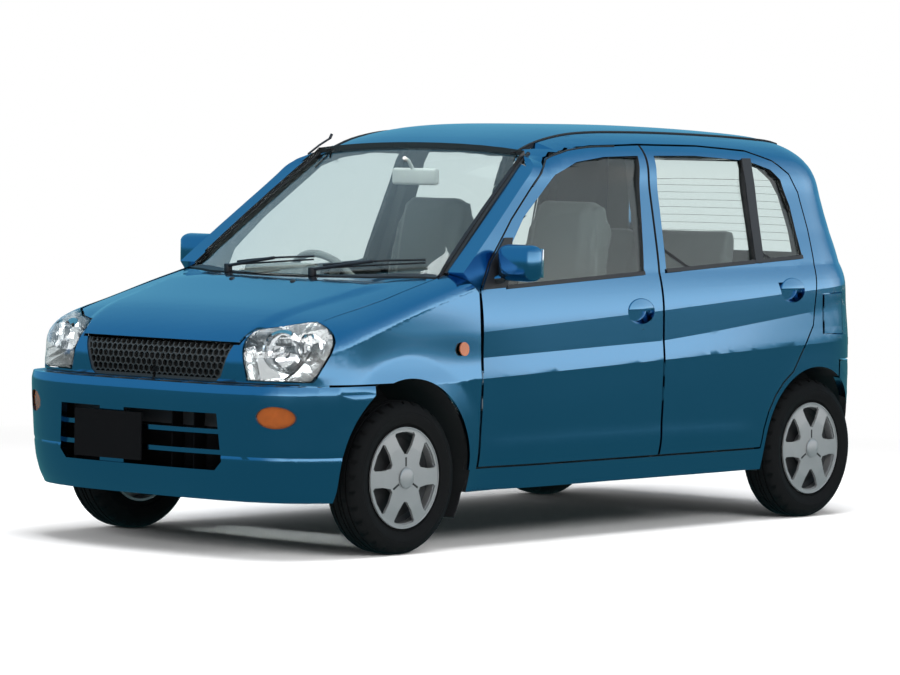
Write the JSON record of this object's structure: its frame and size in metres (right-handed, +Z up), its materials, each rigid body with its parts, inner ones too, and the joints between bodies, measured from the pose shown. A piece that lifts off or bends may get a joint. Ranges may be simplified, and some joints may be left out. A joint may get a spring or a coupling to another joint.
{
  "type": "kei car",
  "caption": "Small upright hatchback car with hinged doors, bonnet and tailgate, steered front wheels and free-rolling tyres, metallic blue.",
  "frame": {"origin": "on the ground, midway along the length and width", "axes": "+X forward, +Y to the car's left, +Z up"},
  "size_m": [3.395, 1.6974, 1.5003],
  "materials": {
    "paint": "metallic blue paint",
    "glass": "tinted glass",
    "black_plastic": "matt black",
    "lamp_clear": "clear lens",
    "amber": "amber lens",
    "lamp_red": "red lens",
    "fabric": "woven grey",
    "steel": "black coated steel",
    "tyre": "rubber",
    "silver": "silver"
  },
  "bodies": {
    "body": {"side_frame_left": "paint", "side_frame_right": "paint", "roof_panel": "paint", "fender_left": "paint", "fender_right": "paint", "front_bumper": "paint", "rear_bumper": "paint", "windscreen": "glass", "cowl_panel": "black_plastic", "grille": "black_plastic", "front_plate": "black_plastic", "wipers": "black_plastic", "dashboard": "black_plastic", "inner_mirror": "black_plastic", "headlamps": "lamp_clear", "indicator_lamps": "amber", "tail_lamps": "lamp_red", "front_seats": "fabric", "rear_seat": "fabric", "floor_pan": "steel", "rear_floor_pan": "steel", "bulkhead": "steel", "engine_rails": "steel", "engine": "steel", "exhaust": "steel", "front_subframe": "steel", "rear_axle": "steel"},
    "bonnet": {"bonnet": "paint"},
    "tailgate": {"tailgate": "paint", "tailgate_glass": "glass"},
    "fuel_flap": {"fuel_flap": "paint"},
    "door_fl": {"door_fl": "paint", "glass_fl": "glass", "mirror_left": "paint"},
    "door_fr": {"door_fr": "paint", "glass_fr": "glass", "mirror_right": "paint"},
    "door_rl": {"door_rl": "paint", "glass_rl": "glass"},
    "door_rr": {"door_rr": "paint", "glass_rr": "glass"},
    "knuckle_left": {"knuckle_left": "steel"},
    "knuckle_right": {"knuckle_right": "steel"},
    "steering_wheel": {"steering_wheel": "black_plastic"},
    "wheel_fl": {"tyre_fl": "tyre", "wheel_fl": "silver"},
    "wheel_fr": {"tyre_fr": "tyre", "wheel_fr": "silver"},
    "wheel_rl": {"tyre_rl": "tyre", "wheel_rl": "silver"},
    "wheel_rr": {"tyre_rr": "tyre", "wheel_rr": "silver"}
  },
  "joints": [
    {"name": "steer_left", "type": "hinge", "parent": "body", "child": "knuckle_left", "pos_m": [1.0855, 0.575, 0.19], "axis": [0, -0.1702, 0.9854], "range_deg": [-30, 30]},
    {"name": "steer_right", "type": "hinge", "parent": "body", "child": "knuckle_right", "pos_m": [1.0855, -0.575, 0.19], "axis": [0, 0.1702, 0.9854], "range_deg": [-30, 30]},
    {"name": "steering_wheel_turn", "type": "hinge", "parent": "body", "child": "steering_wheel", "pos_m": [0.352, -0.35, 0.85], "axis": [-0.8829, 0, 0.4695], "range_deg": [-485, 485]},
    {"name": "spin_front_left", "type": "hinge", "parent": "knuckle_left", "child": "wheel_fl", "pos_m": [1.0855, 0.64, 0.266], "axis": [0, 1, 0], "continuous": true},
    {"name": "spin_front_right", "type": "hinge", "parent": "knuckle_right", "child": "wheel_fr", "pos_m": [1.0855, -0.64, 0.266], "axis": [0, 1, 0], "continuous": true},
    {"name": "spin_rear_left", "type": "hinge", "parent": "body", "child": "wheel_rl", "pos_m": [-1.2545, 0.64, 0.266], "axis": [0, 1, 0], "continuous": true},
    {"name": "spin_rear_right", "type": "hinge", "parent": "body", "child": "wheel_rr", "pos_m": [-1.2545, -0.64, 0.266], "axis": [0, 1, 0], "continuous": true},
    {"name": "open_door_fl", "type": "hinge", "parent": "body", "child": "door_fl", "pos_m": [0.71, 0.7295, 0.6], "axis": [0, 0, -1], "range_deg": [0, 64]},
    {"name": "open_door_fr", "type": "hinge", "parent": "body", "child": "door_fr", "pos_m": [0.71, -0.7295, 0.6], "axis": [0, 0, 1], "range_deg": [0, 64]},
    {"name": "open_door_rl", "type": "hinge", "parent": "body", "child": "door_rl", "pos_m": [-0.303, 0.7295, 0.6], "axis": [0, 0, -1], "range_deg": [0, 68]},
    {"name": "open_door_rr", "type": "hinge", "parent": "body", "child": "door_rr", "pos_m": [-0.303, -0.7295, 0.6], "axis": [0, 0, 1], "range_deg": [0, 68]},
    {"name": "open_bonnet", "type": "hinge", "parent": "body", "child": "bonnet", "pos_m": [0.728, 0, 0.896], "axis": [0, -1, 0], "range_deg": [0, 52]},
    {"name": "open_tailgate", "type": "hinge", "parent": "body", "child": "tailgate", "pos_m": [-1.394, 0, 1.437], "axis": [0, 1, 0], "range_deg": [0, 72]},
    {"name": "open_fuel_flap", "type": "hinge", "parent": "body", "child": "fuel_flap", "pos_m": [-1.295, 0.72206, 0.784], "axis": [0, 0, -1], "range_deg": [0, 85]}
  ],
  "couplings": [
    {"joint": "steer_right", "follows": "steer_left", "ratio": 1},
    {"joint": "steering_wheel_turn", "follows": "steer_left", "ratio": 16}
  ]
}
